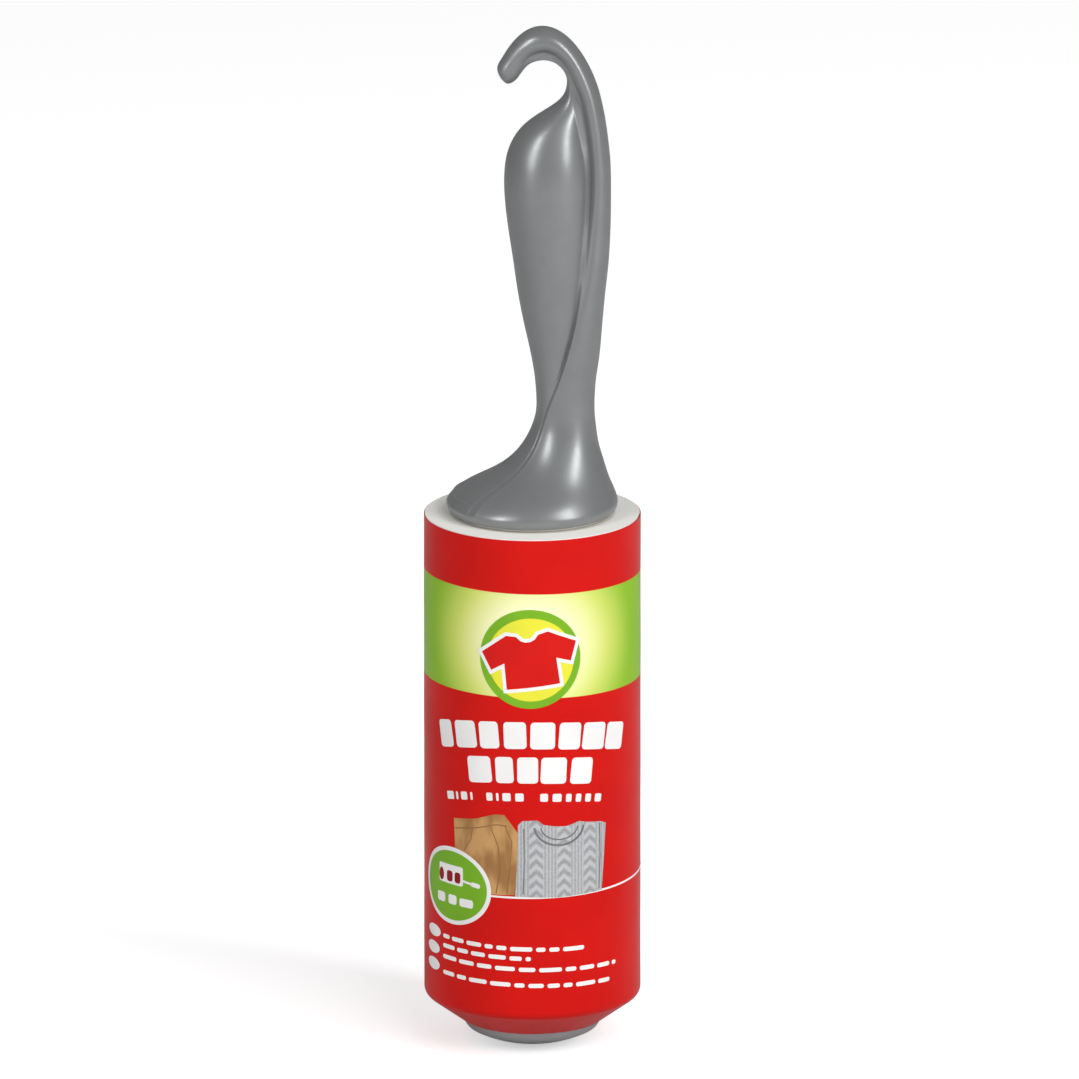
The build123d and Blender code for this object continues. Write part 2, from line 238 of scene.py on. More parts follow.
@dataclass
class NodeBench:
    """A node tree being wired."""

    tree: Tree

    def add(self, kind: str, **settings: object) -> Node:
        """Adds a node.

        Args:
            kind: Blender's name of the node type, without its ShaderNode prefix.
            **settings: the node's own properties.

        Returns:
            The new node.
        """
        prefix = "" if kind.startswith("Node") else "ShaderNode"
        node = self.tree.nodes.new(prefix + kind)
        for name, value in settings.items():
            setattr(node, name, value)
        return node

    def feed(self, socket: Socket, value: object) -> None:
        """Links a socket to an output, or sets its plain value."""
        if isinstance(value, Socket):
            self.tree.links.new(value, socket)
        else:
            socket.default_value = value

    def fill(self, node: Node, **values: object) -> None:
        """Feeds a node's inputs by name, with _ where a name has a space."""
        for name, value in values.items():
            self.feed(node.inputs[name.replace("_", " ")], value)

    def maths(self, operation: str, *values: object, clamp: bool = False) -> Socket:
        """Adds a Math node and returns its output."""
        node = self.add("Math", operation=operation, use_clamp=clamp)
        for socket, value in zip(node.inputs, values):
            self.feed(socket, value)
        return node.outputs[0]

    def times(self, *values: object, clamp: bool = False) -> Socket:
        """Multiplies two values and returns the product."""
        return self.maths("MULTIPLY", *values, clamp=clamp)

    def wave(self, length: Socket, pitch: float) -> Socket:
        """Returns a sine wave along a length, with its pitch in millimetres."""
        return self.maths("SINE", self.times(length, 2 * math.pi / (pitch * MM)))

    def blend(self, factor: object, low: object, high: object) -> Socket:
        """Mixes two colours.

        Args:
            factor: share of the second colour.
            low: first colour, plain or an output.
            high: second colour, plain or an output.

        Returns:
            The mixed colour's output.
        """
        node = self.add("Mix", data_type="RGBA")
        self.feed(node.inputs["Factor"], factor)
        self.feed(node.inputs[6], low if isinstance(low, Socket) else (*low, 1))
        self.feed(node.inputs[7], high if isinstance(high, Socket) else (*high, 1))
        return node.outputs[2]

    def split(self, vector: Socket) -> tuple[Socket, ...]:
        """Splits a vector and returns its three outputs."""
        node = self.add("SeparateXYZ")
        self.feed(node.inputs[0], vector)
        return tuple(node.outputs)

    def mix(self, factor: object, low: object, high: object) -> Socket:
        """Mixes two values by a factor and returns the result."""
        node = self.add("Mix", data_type="FLOAT")
        for socket, value in zip(node.inputs, (factor, None, low, high)):
            if value is not None:
                self.feed(socket, value)
        return node.outputs[0]

    def mapped(self, vector: Socket, scale: tuple[float, float, float],
               turn: float = 0.0) -> Socket:
        """Stretches a vector, turns it about Z and returns the result."""
        node = self.add("Mapping")
        self.fill(node, Vector=vector, Scale=scale, Rotation=(0, 0, turn))
        return node.outputs[0]

    def step(self, value: object, low: float, high: float,
             to: tuple[float, float] = (0, 1)) -> Socket:
        """Maps a value smoothly from one range to another.

        Args:
            value: the value or output to map.
            low: where the range starts.
            high: where the range ends.
            to: the two results.

        Returns:
            The mapped output.
        """
        node = self.add("MapRange", interpolation_type="SMOOTHSTEP")
        for socket, given in zip(node.inputs, (value, low, high, *to)):
            self.feed(socket, given)
        return node.outputs[0]

    def noise(self, vector: object, scale: object, detail: float = 3.0,
              roughness: float = 0.55) -> Socket:
        """Adds a Noise texture and returns its grey output."""
        node = self.add("TexNoise")
        self.fill(node, Vector=vector, Scale=scale, Detail=detail, Roughness=roughness)
        return node.outputs["Fac"]

    def group(self, tree: Tree, **values: object) -> Node:
        """Places a node group and feeds its inputs by name."""
        node = self.add("Group", node_tree=tree)
        self.fill(node, **values)
        return node


def new_group(name: str, *outputs: str) -> tuple[NodeBench, Socket, Socket, Node]:
    """Starts a shader node group that takes a vector and a scale.

    Args:
        name: name of the group.
        *outputs: names of the values that it puts out.

    Returns:
        The bench for its tree, its vector, its scale and its output node.
    """
    tree = bpy.data.node_groups.new(name, "ShaderNodeTree")
    for label, kind in (("Vector", "Vector"), ("Scale", "Float")):
        tree.interface.new_socket(label, in_out="INPUT", socket_type="NodeSocket" + kind)
    for label in outputs:
        tree.interface.new_socket(label, in_out="OUTPUT", socket_type="NodeSocketFloat")
    bench = NodeBench(tree)
    vector, scale = bench.add("NodeGroupInput").outputs[:2]
    return bench, vector, scale, bench.add("NodeGroupOutput")


def grain_group() -> Tree:
    """Fine mould grain: a height for bump and a slow tone for colour and gloss."""
    bench, vector, scale, out = new_group("grain", "Height", "Tone")
    slow = bench.noise(vector, bench.maths("DIVIDE", scale, 24.0), 2.0)
    bench.fill(out, Height=bench.noise(vector, scale, 4.0), Tone=bench.step(slow, 0.3, 0.7))
    return bench.tree


def wear_group() -> Tree:
    """Rubbed edges: a mask on the convex edges, broken up by noise."""
    bench, vector, scale, out = new_group("edge_wear", "Mask")
    edge = bench.step(bench.add("NewGeometry").outputs["Pointiness"], 0.515, 0.6)
    patches = bench.step(bench.noise(vector, scale, 5.0), 0.38, 0.62)
    bench.fill(out, Mask=bench.times(edge, patches, clamp=True))
    return bench.tree


def dust_group() -> Tree:
    """Settled dust: a mask on what faces up, in soft specks."""
    bench, vector, scale, out = new_group("dust", "Mask")
    _, _, up = bench.split(bench.add("NewGeometry").outputs["Normal"])
    specks = bench.step(bench.noise(vector, scale, 6.0, 0.7), 0.55, 0.75)
    bench.fill(out, Mask=bench.times(bench.step(up, 0.2, 1.0), specks, clamp=True))
    return bench.tree


GRAIN = grain_group()
WEAR = wear_group()
DUST = dust_group()
DUST_COLOUR = (0.62, 0.6, 0.56)


@dataclass(frozen=True)
class Finish:
    """A finish: colours, gloss, and the size and depth of its surface detail."""

    name: str
    colour: Colour
    shade: Colour
    roughness: float = 0.45
    spread: float = 0.06
    metallic: float = 0.0
    specular: float = 0.5
    grain: float = 0.25
    relief: float = 0.004
    wear: float = 0.3
    worn: Colour = (0.6, 0.6, 0.6)
    dust: float = 0.05

    def colour_of(self, bench: NodeBench, vector: Socket, tone: Socket) -> Socket:
        """Colour before wear and dust: the two colours mixed by a slow tone."""
        return bench.blend(tone, self.colour, self.shade)

    def relief_of(self, bench: NodeBench, vector: Socket, height: Socket) -> Socket:
        """Height of the relief, in units of the finish's relief depth."""
        return height

    def material(self) -> bpy.types.Material:
        """Builds the finish as a material, or returns the one already built."""
        ready = bpy.data.materials.get(self.name)
        if ready:
            return ready
        made = bpy.data.materials.new(self.name)
        made.use_nodes = True
        bench = NodeBench(made.node_tree)
        shader = made.node_tree.nodes["Principled BSDF"]
        vector = bench.add("TexCoord").outputs["Object"]
        grain = bench.group(GRAIN, Vector=vector, Scale=1 / (self.grain * MM))
        tone = grain.outputs["Tone"]
        colour = self.colour_of(bench, vector, tone)
        for tree, fineness, amount, over in ((WEAR, 0.5, self.wear, self.worn),
                                             (DUST, 0.8, self.dust, DUST_COLOUR)):
            if amount:
                mask = bench.group(tree, Vector=vector, Scale=fineness / (self.grain * MM))
                mask = bench.times(mask.outputs["Mask"], amount)
                colour = bench.blend(mask, colour, over)
        rough = bench.step(tone, 0, 1, (self.roughness - self.spread, self.roughness + self.spread))
        bump = bench.add("Bump")
        bench.fill(bump, Distance=self.relief * MM,
                   Height=self.relief_of(bench, vector, grain.outputs["Height"]))
        bench.fill(shader, Base_Color=colour, Roughness=rough, Metallic=self.metallic,
                   Specular_IOR_Level=self.specular, Normal=bump.outputs[0])
        return made


@dataclass(frozen=True)
class BoardFinish(Finish):
    """Spiral-wound paper board, with fibres along the winding."""

    def colour_of(self, bench: NodeBench, vector: Socket, tone: Socket) -> Socket:
        """Mixes the two board colours by streaky fibres."""
        fibres = bench.noise(bench.mapped(vector, (1, 1, 0.18)), 1 / (0.35 * MM), 6.0, 0.7)
        return bench.blend(bench.step(fibres, 0.35, 0.65), self.colour, self.shade)


@dataclass(frozen=True)
class TapeFinish(Finish):
    """Adhesive paper wound in turns: turn lines on its ends, perforations round its face."""

    pitch: float = 0.13
    stripe: float = 1.6
    cut_pitch: float = 1.1
    cut_depth: float = 6.0

    def polar(self, bench: NodeBench, vector: Socket) -> tuple[Socket, Socket, Socket]:
        """Splits a place into its radius, its angle and its height."""
        x, y, z = bench.split(vector)
        across = bench.times(x, x)
        radius = bench.maths("SQRT", bench.maths("MULTIPLY_ADD", y, y, across))
        return radius, bench.maths("ARCTAN2", x, y), z

    def colour_of(self, bench: NodeBench, vector: Socket, tone: Socket) -> Socket:
        """Paper white with faint turn lines on the ends and faint glue stripes on the face."""
        radius, _, height = self.polar(bench, vector)
        turns = bench.step(bench.wave(radius, self.pitch), -1, 1, (0.0, 0.5))
        glue = bench.step(bench.wave(height, self.stripe), -1, 1, (0.0, 0.35))
        _, _, up = bench.split(bench.add("NewGeometry").outputs["Normal"])
        lines = bench.mix(bench.step(bench.maths("ABSOLUTE", up), 0.5, 0.9), glue, turns)
        lines = bench.maths("MULTIPLY_ADD", tone, 0.25, lines)
        return bench.blend(lines, self.colour, self.shade)

    def relief_of(self, bench: NodeBench, vector: Socket, height: Socket) -> Socket:
        """Paper fibre, with rows of short perforation cuts across the winding."""
        _, angle, z = self.polar(bench, vector)
        near = bench.step(bench.maths("ABSOLUTE", angle), 0.004, 0.012, (1, 0))
        cut = bench.times(near, bench.step(bench.wave(z, self.cut_pitch), 0, 0.2))
        return bench.maths("MULTIPLY_ADD", cut, -self.cut_depth, height)


@dataclass(frozen=True)
class FilmFinish(Finish):
    """Printed shrink film: a plain ground with one lit band round it."""

    band: tuple[float, float] = (-24.75, -8.45)
    tilt: float = 0.0122
    glow: Colour = (0.956, 0.948, 0.6)
    mid: Colour = (0.68, 0.75, 0.17)
    rim: Colour = (0.26, 0.5, 0.021)

    def colour_of(self, bench: NodeBench, vector: Socket, tone: Socket) -> Socket:
        """The ground, and over it the band with its glow on the front."""
        x, y, z = bench.split(vector)
        angle = bench.maths("ARCTAN2", x, bench.times(y, -1.0))
        across = bench.times(angle, SLEEVE_RADIUS)
        height = bench.maths("MULTIPLY_ADD", z, 1 / MM, -ROLL_TOP)
        sway = bench.times(bench.maths("SINE", angle), SLEEVE_RADIUS)
        height = bench.maths("MULTIPLY_ADD", sway, self.tilt, height)
        low, high = self.band
        below = bench.step(height, low - 0.05, low + 0.05)
        above = bench.step(height, high - 0.05, high + 0.05, (1, 0))
        inside = bench.times(below, above)
        rise = bench.times(bench.maths("SUBTRACT", height, (low + high) / 2), 1.1)
        squared = bench.maths("MULTIPLY_ADD", rise, rise, bench.times(across, across))
        reach = bench.maths("SQRT", squared)
        outer = bench.blend(bench.step(reach, 10.5, 19.5), self.mid, self.rim)
        lit = bench.blend(bench.step(reach, 4.5, 13.5), self.glow, outer)
        ground = bench.blend(tone, self.colour, self.shade)
        return bench.blend(inside, ground, lit)


@dataclass(frozen=True)
class KnitInk(Finish):
    """A printed picture of cable-knit wool, drawn from the flat print's own coordinates."""

    middle: float = 4.9
    repeat: float = 4.3
    cable: float = 1.05

    def colour_of(self, bench: NodeBench, vector: Socket, tone: Socket) -> Socket:
        """Columns of twisted cables between plain ribs."""
        across, along, _ = bench.split(bench.add("UVMap", uv_map=FLAT_MAP).outputs[0])
        u = bench.times(across, PRINT_UNIT)
        v = bench.times(along, PRINT_UNIT)
        off = bench.maths("PINGPONG", bench.maths("SUBTRACT", u, self.middle), self.repeat / 2)
        lean = bench.maths("MULTIPLY_ADD", off, 3.4, bench.times(v, 3.9))
        cable = bench.maths("SINE", lean)
        rib = bench.times(bench.maths("SINE", bench.times(u, 12.0)), 0.7)
        beside = bench.step(off, self.cable - 0.1, self.cable + 0.1)
        stitches = bench.noise(vector, 1 / (0.3 * MM), 3.0)
        mixed = bench.maths("MULTIPLY_ADD", stitches, 2.6, bench.mix(beside, cable, rib))
        return bench.blend(bench.step(mixed, 0.0, 2.4), self.shade, self.colour)


@dataclass(frozen=True)
class ClothInk(Finish):
    """A printed picture of folded cloth, with soft folds in the flat print's own coordinates."""

    def colour_of(self, bench: NodeBench, vector: Socket, tone: Socket) -> Socket:
        """Soft slanting folds and a darker waist."""
        flat = bench.add("UVMap", uv_map=FLAT_MAP).outputs[0]
        folds = bench.noise(bench.mapped(flat, (34.0, 15.0, 1.0), 0.5), 1.0, 2.5, 0.45)
        return bench.blend(bench.step(folds, 0.36, 0.62), self.shade, self.colour)


PEARL_GREY = Finish("pearl_grey_plastic", (0.272, 0.281, 0.285), (0.26, 0.269, 0.273),
                    roughness=0.34, spread=0.02, metallic=0.55, grain=0.12, relief=0.0012,
                    wear=0.06, worn=(0.42, 0.43, 0.43))
CAP_GREY = Finish("cap_grey_plastic", (0.36, 0.372, 0.378), (0.34, 0.351, 0.357), roughness=0.36,
                  spread=0.02, metallic=0.55, grain=0.12, relief=0.0006, wear=0.06,
                  worn=(0.46, 0.47, 0.47), dust=0.0)
CAGE_WHITE = Finish("cage_white_plastic", (0.72, 0.71, 0.68), (0.64, 0.63, 0.6), roughness=0.42,
                    grain=0.2, relief=0.003, wear=0.2, worn=(0.85, 0.84, 0.82))
AXLE_STEEL = Finish("axle_steel", (0.56, 0.56, 0.55), (0.46, 0.46, 0.46), roughness=0.28,
                    metallic=1.0, grain=0.08, relief=0.002, wear=0.3, worn=(0.8, 0.8, 0.8))
CLIP_STEEL = Finish("clip_spring_steel", (0.3, 0.3, 0.31), (0.22, 0.22, 0.24), roughness=0.36,
                    metallic=1.0, grain=0.08, relief=0.002, wear=0.5, worn=(0.7, 0.7, 0.7))
ACETAL = Finish("washer_acetal", (0.8, 0.79, 0.74), (0.7, 0.69, 0.65), roughness=0.35,
                grain=0.1, relief=0.002, wear=0.2)
CORE_BOARD = BoardFinish("core_board", (0.36, 0.26, 0.17), (0.23, 0.16, 0.1), roughness=0.85,
                         spread=0.05, specular=0.2, grain=0.3, relief=0.02, wear=0.4,
                         worn=(0.5, 0.4, 0.3))
TAPE_PAPER = TapeFinish("adhesive_paper", (0.8, 0.788, 0.75), (0.64, 0.626, 0.585), roughness=0.55,
                        specular=0.3, grain=0.2, relief=0.004, wear=0.0, dust=0.0)
RED_FILM = FilmFinish("printed_red_film", (0.63, 0.0065, 0.004), (0.58, 0.0055, 0.0035),
                      roughness=0.3, spread=0.02, specular=0.13, grain=0.5, relief=0.0008,
                      wear=0.0, dust=0.0)


def ink(name: str, colour: Colour, shade: Colour, kind: type[Finish] = Finish) -> Finish:
    """Makes an ink with the film's gloss.

    Args:
        name: name of its material.
        colour: main colour.
        shade: second colour.
        kind: the finish class that draws it.

    Returns:
        The finish.
    """
    return kind(name, colour, shade, roughness=0.32, spread=0.02, specular=0.2, grain=0.5,
                relief=0.0008, wear=0.0, dust=0.0)


WHITE_INK = ink("ink_white", (0.9, 0.89, 0.88), (0.82, 0.81, 0.8))
LEAF_INK = ink("ink_leaf_green", (0.2, 0.46, 0.02), (0.17, 0.4, 0.016))
LIME_INK = ink("ink_lime", (0.84, 0.78, 0.05), (0.72, 0.72, 0.05))
RED_INK = ink("ink_red", (0.66, 0.0075, 0.0045), (0.6, 0.006, 0.004))
DARK_RED_INK = ink("ink_dark_red", (0.3, 0.005, 0.012), (0.22, 0.004, 0.01))
TAN_INK = ink("ink_tan_cloth", (0.56, 0.31, 0.12), (0.33, 0.16, 0.055), ClothInk)
SEAM_INK = ink("ink_brown_shadow", (0.3, 0.15, 0.055), (0.2, 0.095, 0.035))
WOOL_INK = ink("ink_grey_knit", (0.5, 0.51, 0.52), (0.3, 0.305, 0.31), KnitInk)
COLLAR_INK = ink("ink_grey_shadow", (0.24, 0.24, 0.245), (0.14, 0.14, 0.145))


# ---- handle ----


@dataclass
class Handle:
    """The moulded handle in two shells: round collar, neck, palm grip, spine and hook.

    Each section runs from its left side over the grip to the grip's edge, across a narrow
    channel to the spine's edge, and over the spine to its right side. Along the handle, a
    place is a height above the roll up to the hook's round eye, and then goes on round it.
    """

    eye: Place = (1.9, 67.3)
    eye_pitch: float = 5.5           # length of path for one radian round the eye
    arch_end: float = 142.7          # degrees round the eye where the straight tip starts
    tip: tuple[float, float, float] = (1.9, 5.46, 1.85)   # along, out from the eye, radius
    widest: float = 2.0
    lip_low: float = 0.45
    lip_round: float = 0.75
    recess_radius: float = 12.1
    recess_top: float = 3.2
    parting: float = 0.015
    spacing: float = 0.7
    soften: float = 0.9
    finish: Finish = PEARL_GREY
    # place; left, grip edge, spine edge, right; grip depth and turn; spine depth and turn;
    # channel depth on the grip's side and on the spine's side
    stations: tuple[tuple[float, ...], ...] = (
        (16.3, 0.65, 1.75, 2.30, 9.40, 3.75, -0.50, 4.50, 0.48, 0.00, 0.00),
        (20.0, 0.50, 3.20, 3.70, 9.55, 4.00, 0.10, 4.60, 0.26, 0.00, 0.00),
        (24.7, -0.20, 4.85, 5.20, 10.2, 4.50, 0.47, 4.80, 0.20, 0.00, 0.00),
        (30.2, -1.40, 6.20, 6.60, 10.65, 5.10, 0.60, 4.85, 0.22, 0.00, 0.00),
        (34.5, -2.20, 6.75, 7.35, 11.05, 5.60, 0.68, 4.80, 0.32, 0.00, 0.00),
        (39.8, -2.95, 7.30, 8.05, 11.6, 6.15, 0.74, 4.60, 0.42, 0.02, 0.04),
        (45.2, -3.75, 7.65, 8.50, 11.85, 6.55, 0.79, 4.30, 0.52, 0.10, 0.12),
        (48.2, -4.10, 7.80, 8.75, 11.9, 6.70, 0.81, 4.15, 0.57, 0.15, 0.18),
        (51.8, -4.30, 7.90, 8.90, 11.9, 6.65, 0.82, 4.00, 0.60, 0.20, 0.22),
        (55.3, -4.05, 7.70, 8.80, 11.8, 6.30, 0.82, 3.90, 0.62, 0.20, 0.22),
        (57.2, -3.50, 7.40, 8.65, 11.6, 5.85, 0.81, 3.80, 0.63, 0.20, 0.22),
        (59.4, -2.35, 6.95, 8.40, 11.35, 5.10, 0.78, 3.70, 0.64, 0.19, 0.22),
        (60.4, -1.50, 6.80, 8.25, 11.2, 4.70, 0.75, 3.65, 0.65, 0.17, 0.22),
        (61.75, 0.20, 6.50, 8.05, 11.0, 4.00, 0.68, 3.60, 0.66, 0.12, 0.22),
        (62.6, 1.60, 6.35, 7.90, 10.85, 3.40, 0.58, 3.55, 0.67, 0.10, 0.21),
        (63.4, 3.00, 6.20, 7.75, 10.7, 2.90, 0.40, 3.50, 0.68, 0.08, 0.20),
        (64.2, 4.20, 6.05, 7.60, 10.5, 2.50, 0.10, 3.45, 0.69, 0.04, 0.20),
        (65.3, 4.95, 5.75, 7.30, 10.25, 2.20, -0.15, 3.40, 0.70, 0.00, 0.20),
        (66.2, 5.20, 5.60, 7.00, 10.05, 2.05, -0.25, 3.35, 0.70, 0.00, 0.20),
        (67.3, 5.27, 5.60, 6.45, 9.65, 1.95, -0.30, 3.30, 0.70, 0.00, 0.20),
    )
    # degrees round the eye, then as above but measured out from the eye
    arch: tuple[tuple[float, ...], ...] = (
        (17.4, 3.33, 3.65, 4.20, 7.02, 1.90, -0.30, 3.25, 0.71, 0.00, 0.20),
        (32.0, 3.33, 3.65, 4.28, 6.98, 1.85, -0.30, 3.20, 0.72, 0.00, 0.20),
        (47.0, 3.36, 3.68, 4.42, 7.16, 1.85, -0.30, 3.10, 0.72, 0.00, 0.20),
        (62.0, 3.42, 3.74, 4.68, 7.62, 1.85, -0.30, 3.00, 0.72, 0.00, 0.20),
        (80.0, 3.48, 3.80, 5.08, 8.42, 1.85, -0.30, 2.90, 0.72, 0.00, 0.18),
        (92.0, 3.50, 3.84, 5.15, 8.78, 1.80, -0.35, 2.80, 0.72, 0.00, 0.15),
        (106.0, 3.50, 3.90, 5.05, 8.65, 1.80, -0.45, 2.65, 0.70, 0.00, 0.08),
        (121.0, 3.58, 4.10, 4.90, 8.00, 1.90, -0.60, 2.30, 0.68, 0.00, 0.03),
    )
    # height above the roll, centre, half width, half depth of the plain sections
    plain: tuple[tuple[float, ...], ...] = (
        (2.0, 0.0, 13.0, 13.0),
        (3.2, 0.2, 12.5, 12.45),
        (4.8, 1.3, 10.6, 10.5),
        (6.3, 2.58, 8.78, 8.65),
        (8.2, 3.62, 7.23, 7.1),
        (10.5, 4.25, 5.85, 5.75),
        (13.2, 4.75, 4.95, 4.85),
    )
    # out from the eye, half width, half depth, where the straight tip starts
    arch_foot: tuple[float, float, float] = (5.6, 1.88, 1.95)
    tip_depth: float = 1.8
    grip_steps: int = 25
    channel_steps: int = 5
    spine_steps: int = 16

    def plain_row(self, place: float, centre: float, width: float,
                  depth: float) -> tuple[float, ...]:
        """A plain ellipse, written as a row of the station table."""
        grip_turn, spine_turn = -0.76, 0.66
        return (place, centre - width, centre + grip_turn * width, centre - spine_turn * width,
                centre + width, depth, grip_turn, depth, spine_turn, 0.0, 0.0)

    def table(self) -> np.ndarray:
        """All stations in order along the handle, as rows."""
        rows = [*(self.plain_row(*row) for row in self.plain), *self.stations]
        for degrees, *row in self.arch:
            outs = [value + self.eye[0] for value in row[:4]]
            rows.append((self.eye[1] + self.eye_pitch * math.radians(degrees), *outs, *row[4:]))
        end = self.eye[1] + self.eye_pitch * math.radians(self.arch_end)
        out, width, depth = self.arch_foot
        rows.append(self.plain_row(end, out + self.eye[0], width, depth))
        along, out, radius = self.tip
        rows.append(self.plain_row(end + along, out + self.eye[0], radius, self.tip_depth))
        return np.array(rows)

    def columns_at(self, places: np.ndarray) -> np.ndarray:
        """Interpolates the stations without overshoot and smooths what is between them.

        Args:
            places: places along the handle.

        Returns:
            One row of section values for each place.
        """
        table = self.table()
        knots, values = table[:, 0], table[:, 1:]
        step = 0.1
        fine = np.arange(knots[0], knots[-1] + step, step)
        gaps = np.diff(knots)[:, None]
        slopes = np.diff(values, axis=0) / gaps
        inner = np.where(slopes[1:] * slopes[:-1] > 0,
                         2 * slopes[1:] * slopes[:-1] / (slopes[1:] + slopes[:-1] + 1e-12), 0)
        tangents = np.vstack([slopes[:1], inner, slopes[-1:]])
        index = np.clip(np.searchsorted(knots, fine, side="right") - 1, 0, len(knots) - 2)
        t = ((fine - knots[index]) / gaps[index, 0])[:, None]
        smooth = ((2 * t**3 - 3 * t**2 + 1) * values[index]
                  + (3 * t**2 - 2 * t**3) * values[index + 1]
                  + gaps[index] * ((t**3 - 2 * t**2 + t) * tangents[index]
                                   + (t**3 - t**2) * tangents[index + 1]))
        reach = int(3 * self.soften / step)
        kernel = np.exp(-0.5 * (np.arange(-reach, reach + 1) * step / self.soften) ** 2)
        kernel /= kernel.sum()
        padded = np.vstack([2 * smooth[:1] - smooth[reach:0:-1], smooth,
                            2 * smooth[-1:] - smooth[-2:-reach - 2:-1]])
        soft = np.column_stack([np.convolve(column, kernel, "valid") for column in padded.T])
        return np.column_stack([np.interp(places, fine, column) for column in soft.T])

    def outline(self, row: np.ndarray) -> np.ndarray:
        """Half of a section, front side only.

        Args:
            row: the section's values, as in the station table without its place.

        Returns:
            Rows of distance across and depth, from the left side to the right.
        """
        left, grip_edge, spine_edge, right, depth, turn, spine_depth, spine_turn, near, far = row
        half = (grip_edge - left) / (1 + turn)
        angles = np.linspace(math.pi, math.acos(turn), self.grip_steps + 1)
        grip = np.column_stack([left + half + half * np.cos(angles), depth * np.sin(angles)])
        spine_half = (right - spine_edge) / (1 + spine_turn)
        angles = np.linspace(math.acos(-spine_turn), 0, self.spine_steps + 1)
        spine = np.column_stack([right - spine_half + spine_half * np.cos(angles),
                                 spine_depth * np.sin(angles)])
        wall = min(0.12, 0.15 * (spine_edge - grip_edge))
        start = grip[-1] + (wall, -near)
        end = spine[0] - (wall, far)
        channel = np.linspace(start, end, self.channel_steps + 1)
        return np.vstack([grip, channel, spine])

    def ring(self, place: float, row: np.ndarray) -> np.ndarray:
        """A whole section in space.

        Args:
            place: its place along the handle.
            row: its values.

        Returns:
            Its points, front side first, in millimetres.
        """
        half = self.outline(row)
        closed = np.vstack([half * (1, -1), half[-2:0:-1]])
        past = max(place - self.eye[1], 0) / self.eye_pitch
        turn = min(past, math.radians(self.arch_end))
        run = max(past - turn, 0) * self.eye_pitch
        out = np.array([math.cos(turn), math.sin(turn)])
        along = np.array([-math.sin(turn), math.cos(turn)])
        origin = np.array([self.eye[0], min(place, self.eye[1])]) + along * run
        flat = origin + (closed[:, :1] - self.eye[0]) * out
        return np.column_stack([flat[:, 0], closed[:, 1], flat[:, 1] + ROLL_TOP])

    def rings(self) -> np.ndarray:
        """Every ring of the handle, from the collar's recess to the end of the hook's tip."""
        table = self.table()
        count = int((table[-1, 0] - table[0, 0]) / self.spacing)
        places = np.linspace(table[0, 0], table[-1, 0], count)
        body = [self.ring(p, row) for p, row in zip(places, self.columns_at(places))]
        circle = body[0][:, :2] / np.linalg.norm(body[0][:, :2], axis=1)[:, None]
        corner = np.linspace(math.pi / 2, 0, 7)[:-1]
        lip = [(self.recess_radius, self.recess_top), (self.recess_radius, 2.0),
               (self.recess_radius, self.lip_low + 0.1), (self.recess_radius + 0.05, self.lip_low)]
        widest_radius = self.plain[0][2]
        lip += [(widest_radius - self.lip_round * (1 - math.cos(a)),
                 self.widest - (self.widest - self.lip_low) * math.sin(a)) for a in corner]
        base = [np.column_stack([circle * radius, np.full(len(circle), ROLL_TOP + height)])
                for radius, height in lip]
        centre = body[-1].mean(axis=0)
        radius = self.tip[2]
        turn = math.radians(self.arch_end)
        along = np.array([-math.sin(turn), 0, math.cos(turn)])
        rounding = [centre + (body[-1] - centre) * math.cos(a) + along * radius * math.sin(a)
                    for a in np.radians((18, 36, 52, 66, 78, 86))]
        return np.array(base + body + rounding)

    def shells(self) -> list[Piece]:
        """Skins the whole moulding and parts it along its middle plane."""
        whole = skin("handle_front", self.rings(), (True, True))
        apply_modifier(whole, "SUBSURF", levels=1, render_levels=1)
        pick(whole)
        bpy.ops.object.duplicate()
        rear = bpy.context.object
        rear.name = "handle_rear"
        for piece, side in ((whole, -1), (rear, 1)):
            with editing(piece):
                bpy.ops.mesh.bisect(plane_co=(0, side * self.parting * MM, 0), plane_no=(0, 1, 0),
                                    use_fill=True, clear_outer=side < 0, clear_inner=side > 0)
        return [whole, rear]

    def build(self) -> None:
        """Builds, dresses and hands over both shells."""
        for piece, node in zip(self.shells(), ("handle_front_shell", "handle_rear_shell")):
            hand_over(piece, self.finish, Body.HANDLE, (node,))


# ---- sleeve and its print ----


